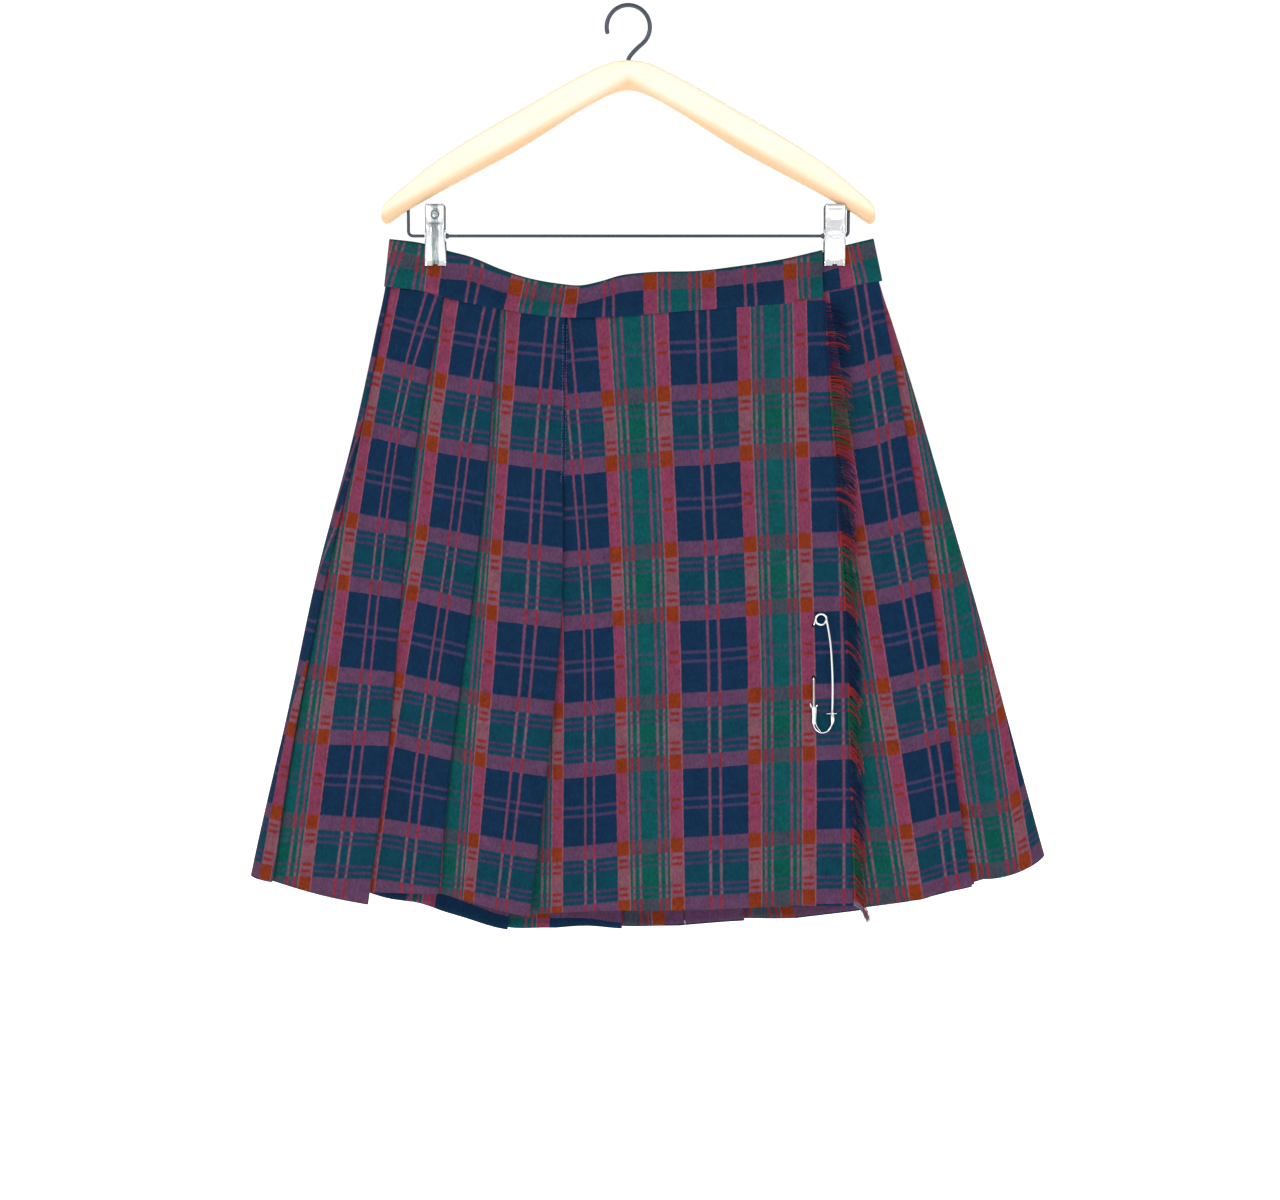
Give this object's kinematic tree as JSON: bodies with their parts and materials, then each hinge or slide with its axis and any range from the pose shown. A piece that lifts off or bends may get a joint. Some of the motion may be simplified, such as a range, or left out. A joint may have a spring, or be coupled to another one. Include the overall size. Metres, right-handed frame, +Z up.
{
  "type": "kilt on a hanger",
  "caption": "Pleated tartan wrap kilt with a fringed over apron, waistband and kilt pin, clipped by its waistband to a wooden hanger with a wire hook and rod",
  "frame": {"origin": "inside top of the hanger's hook, where it rests on a rail", "axes": "+Z up, +X to the viewer's right, front of the kilt towards -Y"},
  "size_m": [0.7203, 0.0828, 0.8365],
  "materials": {
    "tartan_wool": "woven worsted wool in a tartan of navy, green and rose",
    "tartan_fringe": "loose warp threads of the same wool",
    "beech_wood": "pale clear-varnished hardwood",
    "steel_wire": "plated steel wire",
    "chrome_steel": "bright nickel or chrome plate"
  },
  "bodies": {
    "root": {"over_apron": "tartan_wool", "under_apron": "tartan_wool", "left_pleats": "tartan_wool", "right_pleats": "tartan_wool", "back_pleats_left": "tartan_wool", "back_pleats_right": "tartan_wool", "waistband_over": "tartan_wool", "waistband_back": "tartan_wool", "waistband_under": "tartan_wool", "apron_fringe": "tartan_fringe", "kilt_pin": "chrome_steel", "kilt_pin_cup": "chrome_steel", "hanger_wood": "beech_wood", "hanger_hook": "steel_wire", "hanger_rod": "steel_wire", "clip_left_front": "chrome_steel", "clip_left_back": "chrome_steel", "clip_left_barrel": "chrome_steel", "clip_left_spring": "chrome_steel", "clip_right_front": "chrome_steel", "clip_right_back": "chrome_steel", "clip_right_barrel": "chrome_steel", "clip_right_spring": "chrome_steel"}
  },
  "joints": []
}
